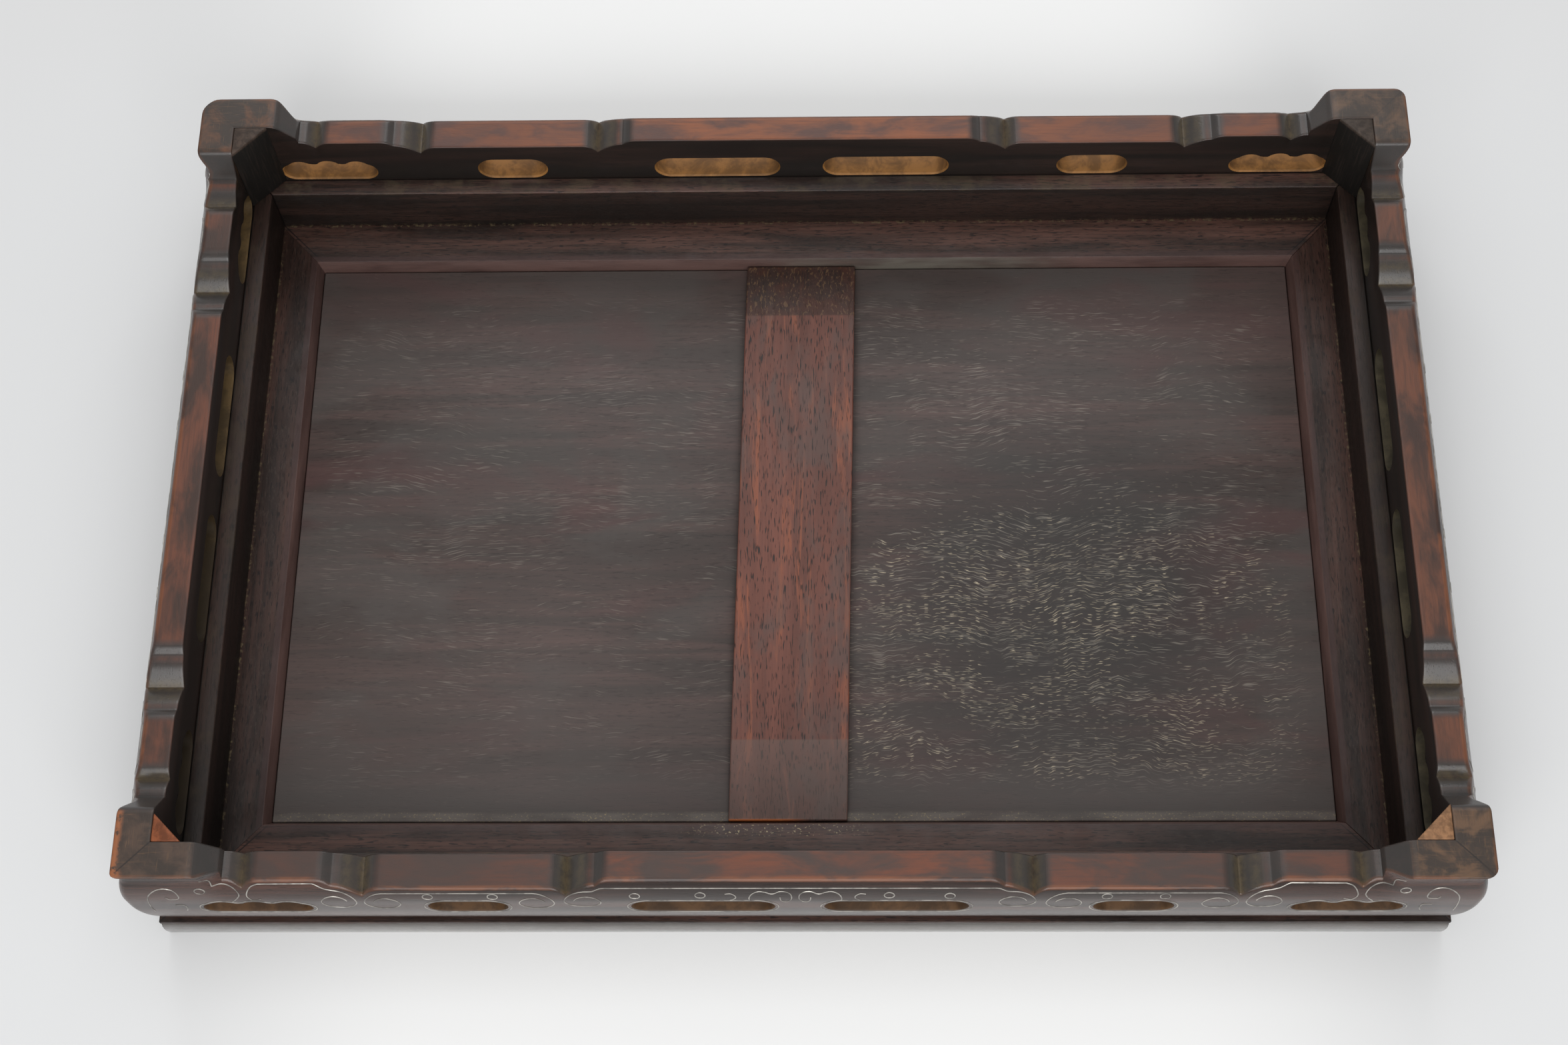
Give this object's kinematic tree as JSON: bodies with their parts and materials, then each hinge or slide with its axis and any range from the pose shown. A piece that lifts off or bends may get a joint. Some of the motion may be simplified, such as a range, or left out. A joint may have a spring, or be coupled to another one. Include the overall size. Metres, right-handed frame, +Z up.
{
  "type": "low desk stand",
  "caption": "Low rectangular hardwood stand, stored upside down on its top: framed panel, cross brace, waist, scalloped pierced aprons with corner feet and silver wire inlay.",
  "frame": {"origin": "centre of the top face, on which the stand lies upside down as pictured", "axes": "+X along the length to the right, +Y towards the back, +Z up from the top face to the foot ends; a half turn about X stands it on its feet"},
  "size_m": [0.403, 0.271, 0.0663],
  "materials": {
    "frame_wood": "worn satin polish",
    "panel_wood": "dull satin with pale filled pores",
    "brace_wood": "dull satin, open pores",
    "apron_wood": "polished satin, worn edges",
    "block_wood": "bare end grain",
    "silver_wire": "tarnished silver"
  },
  "bodies": {
    "root": {"top_rail_front": "frame_wood", "top_rail_back": "frame_wood", "top_rail_left": "frame_wood", "top_rail_right": "frame_wood", "top_panel": "panel_wood", "cross_brace": "brace_wood", "waist_front": "frame_wood", "waist_back": "frame_wood", "waist_left": "frame_wood", "waist_right": "frame_wood", "apron_front": "apron_wood", "apron_back": "apron_wood", "apron_left": "apron_wood", "apron_right": "apron_wood", "corner_block_front_left": "block_wood", "corner_block_front_right": "block_wood", "corner_block_back_left": "block_wood", "corner_block_back_right": "block_wood", "silver_wire_front": "silver_wire", "silver_wire_back": "silver_wire", "silver_wire_left": "silver_wire", "silver_wire_right": "silver_wire"}
  },
  "joints": []
}
